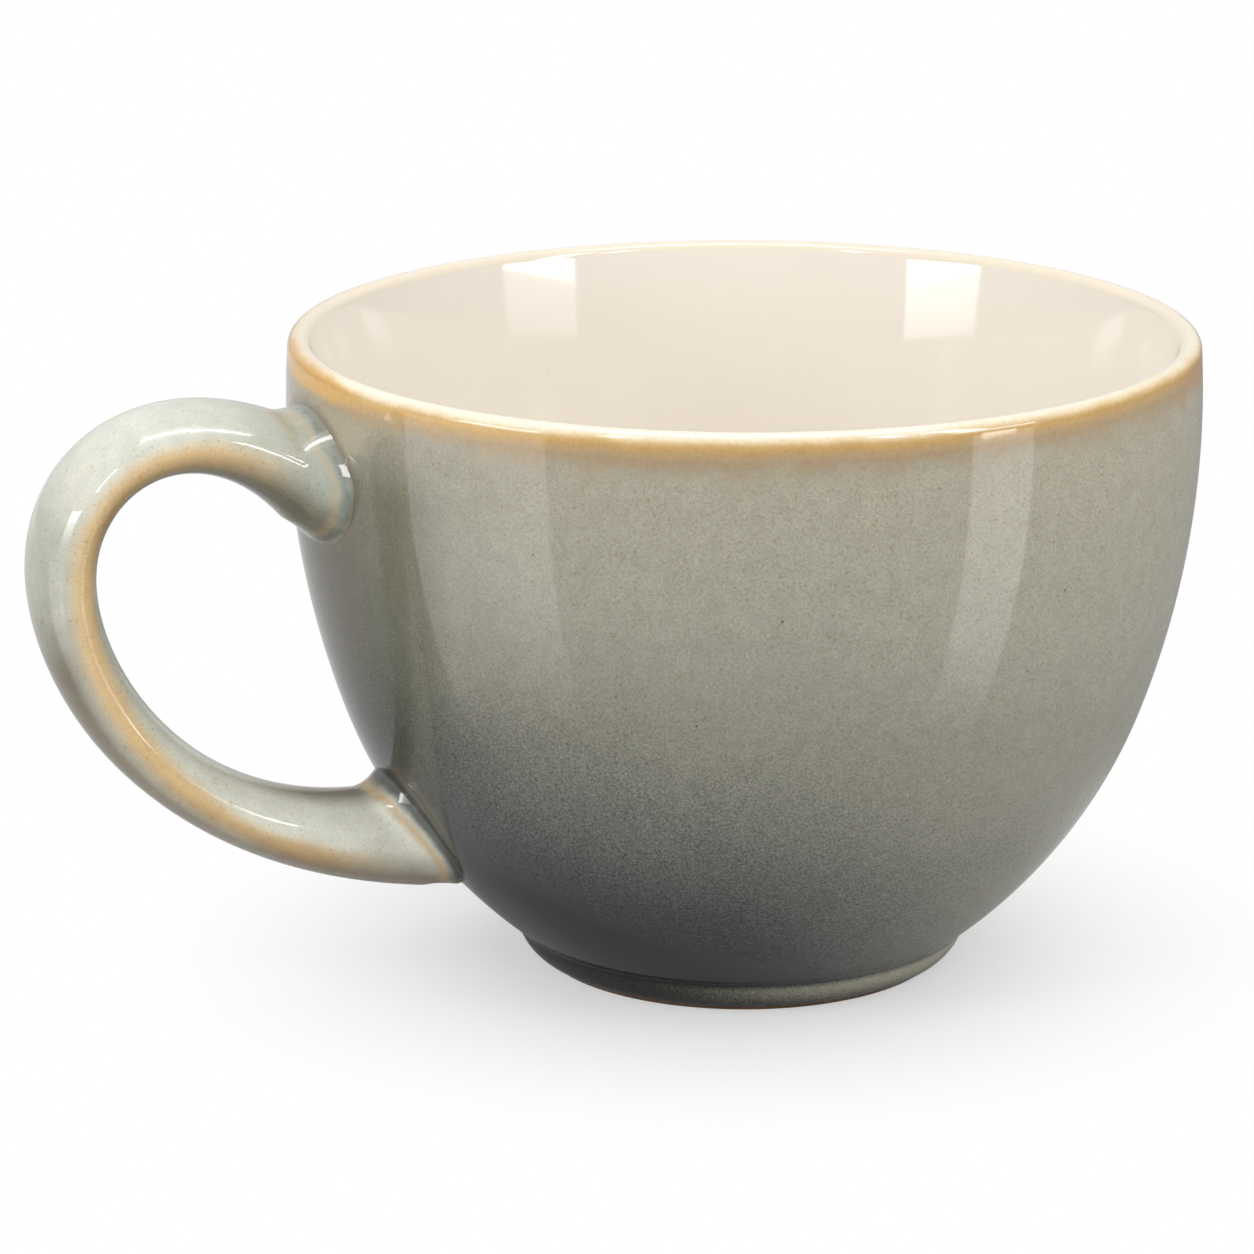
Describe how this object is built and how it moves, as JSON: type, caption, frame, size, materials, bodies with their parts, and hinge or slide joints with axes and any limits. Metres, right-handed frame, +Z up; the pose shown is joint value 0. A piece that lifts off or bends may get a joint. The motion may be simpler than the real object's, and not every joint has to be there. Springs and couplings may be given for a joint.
{
  "type": "tea cup",
  "caption": "Glazed stoneware tea cup: round-bellied bowl on a low foot ring, with a loop handle joined at the side, to hold a hot drink.",
  "frame": {"origin": "centre of the foot ring, on the table", "axes": "+Z up along the bowl's axis, handle along -X"},
  "size_m": [0.1386, 0.106, 0.075],
  "materials": {
    "clay": "bare fired stoneware",
    "slip": "joining slip, fired",
    "liner": "cream gloss glaze",
    "rim": "honey gloss glaze, thin over the lip",
    "wall": "mottled grey-green gloss glaze, darker towards the foot",
    "handle": "pale celadon gloss glaze, amber along its edges",
    "base": "dark gloss glaze"
  },
  "bodies": {
    "root": {"bowl": "clay", "foot_ring": "clay", "handle": "clay", "upper_joint": "slip", "lower_joint": "slip", "liner_glaze": "liner", "rim_glaze": "rim", "outer_glaze": "wall", "handle_glaze": "handle", "base_glaze": "base"}
  },
  "joints": []
}
